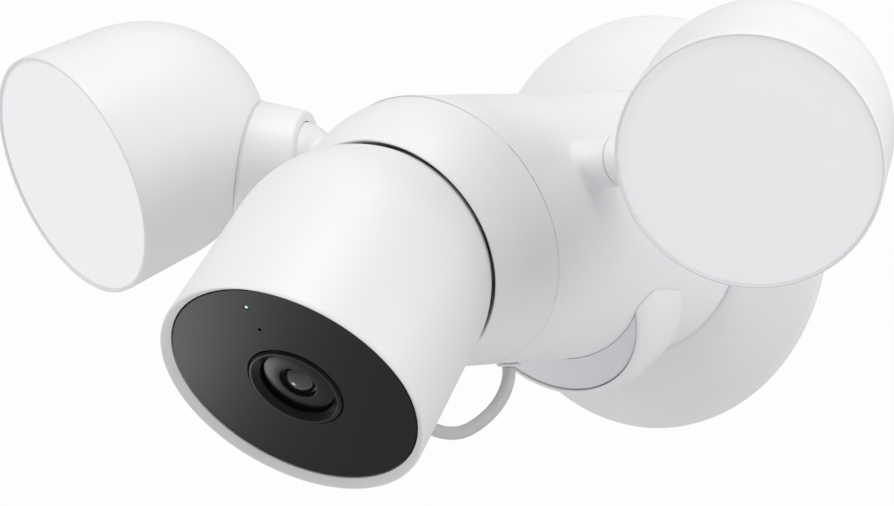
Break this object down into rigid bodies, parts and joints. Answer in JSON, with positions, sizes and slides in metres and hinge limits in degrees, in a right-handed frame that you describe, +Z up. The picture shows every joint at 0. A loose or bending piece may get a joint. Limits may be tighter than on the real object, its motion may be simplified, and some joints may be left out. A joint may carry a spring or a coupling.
{
  "type": "floodlight security camera",
  "caption": "Wall-mounted security camera: round body on a round plate, ball-seated camera at the nose, swivelling floodlights on side arms and a motion sensor below.",
  "frame": {"origin": "centre of the mounting bracket's back face, on the wall plane", "axes": "+Y into the wall, +X to the right seen from in front, +Z up; the object stands out towards -Y"},
  "size_m": [0.3188, 0.2199, 0.1396],
  "materials": {
    "white_housing": "satin moulded white, fine grain",
    "soft_grey": "matte light grey",
    "sensor_window": "translucent grey window",
    "frosted_diffuser": "frosted white diffuser",
    "gloss_black": "gloss black",
    "black_plastic": "matte black",
    "lens_glass": "coated dark glass",
    "seal_rubber": "matte black rubber",
    "pad_rubber": "thin grey rubber",
    "cable_jacket": "smooth white jacket",
    "zinc_steel": "zinc-plated",
    "cast_aluminium": "bare cast",
    "circuit_board": "green solder mask",
    "phosphor": "yellow phosphor and tape",
    "led_window": "green-white light pipe"
  },
  "bodies": {
    "root": {"wall_gasket": "seal_rubber", "mounting_bracket": "zinc_steel", "stud_nut_left": "zinc_steel", "stud_nut_right": "zinc_steel", "wall_plate": "white_housing", "base_plate": "soft_grey", "body_housing": "white_housing", "front_cap": "white_housing", "seat_magnet": "zinc_steel", "arm_left": "white_housing", "arm_right": "white_housing", "inner_frame": "soft_grey", "driver_board": "circuit_board", "transformer": "phosphor", "bulk_capacitor": "black_plastic", "terminal_block": "soft_grey", "motion_sensor_housing": "white_housing", "motion_sensor_lens": "sensor_window", "sensor_board": "circuit_board", "pyro_sensor": "zinc_steel", "cable_gland": "soft_grey", "camera_cable": "cable_jacket"},
    "camera_seat": {"seat_pad": "pad_rubber"},
    "camera": {"camera_shell": "white_housing", "camera_face": "gloss_black", "face_gasket": "seal_rubber", "lens_bezel": "gloss_black", "lens_glass": "lens_glass", "lens_barrel": "black_plastic", "image_sensor_board": "circuit_board", "front_board": "circuit_board", "infrared_led_left": "lens_glass", "infrared_led_right": "lens_glass", "status_led": "led_window", "camera_chassis": "soft_grey", "main_board": "circuit_board", "battery_pack": "black_plastic", "speaker": "black_plastic", "rear_steel_plate": "zinc_steel", "charging_port": "soft_grey", "cable_plug": "soft_grey", "plug_boot": "cable_jacket"},
    "light_swivel_left": {"swivel_ball_left": "soft_grey"},
    "light_left": {"neck_collar_left": "white_housing", "light_housing_left": "white_housing", "light_diffuser_left": "frosted_diffuser", "diffuser_gasket_left": "seal_rubber", "light_reflector_left": "frosted_diffuser", "led_board_left": "frosted_diffuser", "led_array_left": "phosphor", "heat_sink_left": "cast_aluminium"},
    "light_swivel_right": {"swivel_ball_right": "soft_grey"},
    "light_right": {"neck_collar_right": "white_housing", "light_housing_right": "white_housing", "light_diffuser_right": "frosted_diffuser", "diffuser_gasket_right": "seal_rubber", "light_reflector_right": "frosted_diffuser", "led_board_right": "frosted_diffuser", "led_array_right": "phosphor", "heat_sink_right": "cast_aluminium"}
  },
  "joints": [
    {"name": "camera_pan", "type": "hinge", "parent": "root", "child": "camera_seat", "pos_m": [0, -0.1593, -0.0134], "axis": [0, 0, 1], "range_deg": [-20, 20], "deforming": ["camera_cable"]},
    {"name": "camera_tilt", "type": "hinge", "parent": "camera_seat", "child": "camera", "pos_m": [0, -0.1593, -0.0134], "axis": [1, 0, 0], "range_deg": [-12, 8], "deforming": ["camera_cable"]},
    {"name": "light_tilt_left", "type": "hinge", "parent": "root", "child": "light_swivel_left", "pos_m": [-0.0694, -0.0926, 0.0222], "axis": [0.9891, 0.104, -0.1045], "range_deg": [-40, 50]},
    {"name": "light_pan_left", "type": "hinge", "parent": "light_swivel_left", "child": "light_left", "pos_m": [-0.0694, -0.0926, 0.0222], "axis": [-0.104, -0.0109, -0.9945], "range_deg": [-14, 20]},
    {"name": "light_tilt_right", "type": "hinge", "parent": "root", "child": "light_swivel_right", "pos_m": [0.0694, -0.0926, 0.0222], "axis": [0.9891, -0.104, 0.1045], "range_deg": [-40, 50]},
    {"name": "light_pan_right", "type": "hinge", "parent": "light_swivel_right", "child": "light_right", "pos_m": [0.0694, -0.0926, 0.0222], "axis": [-0.104, 0.0109, 0.9945], "range_deg": [-14, 20]}
  ]
}
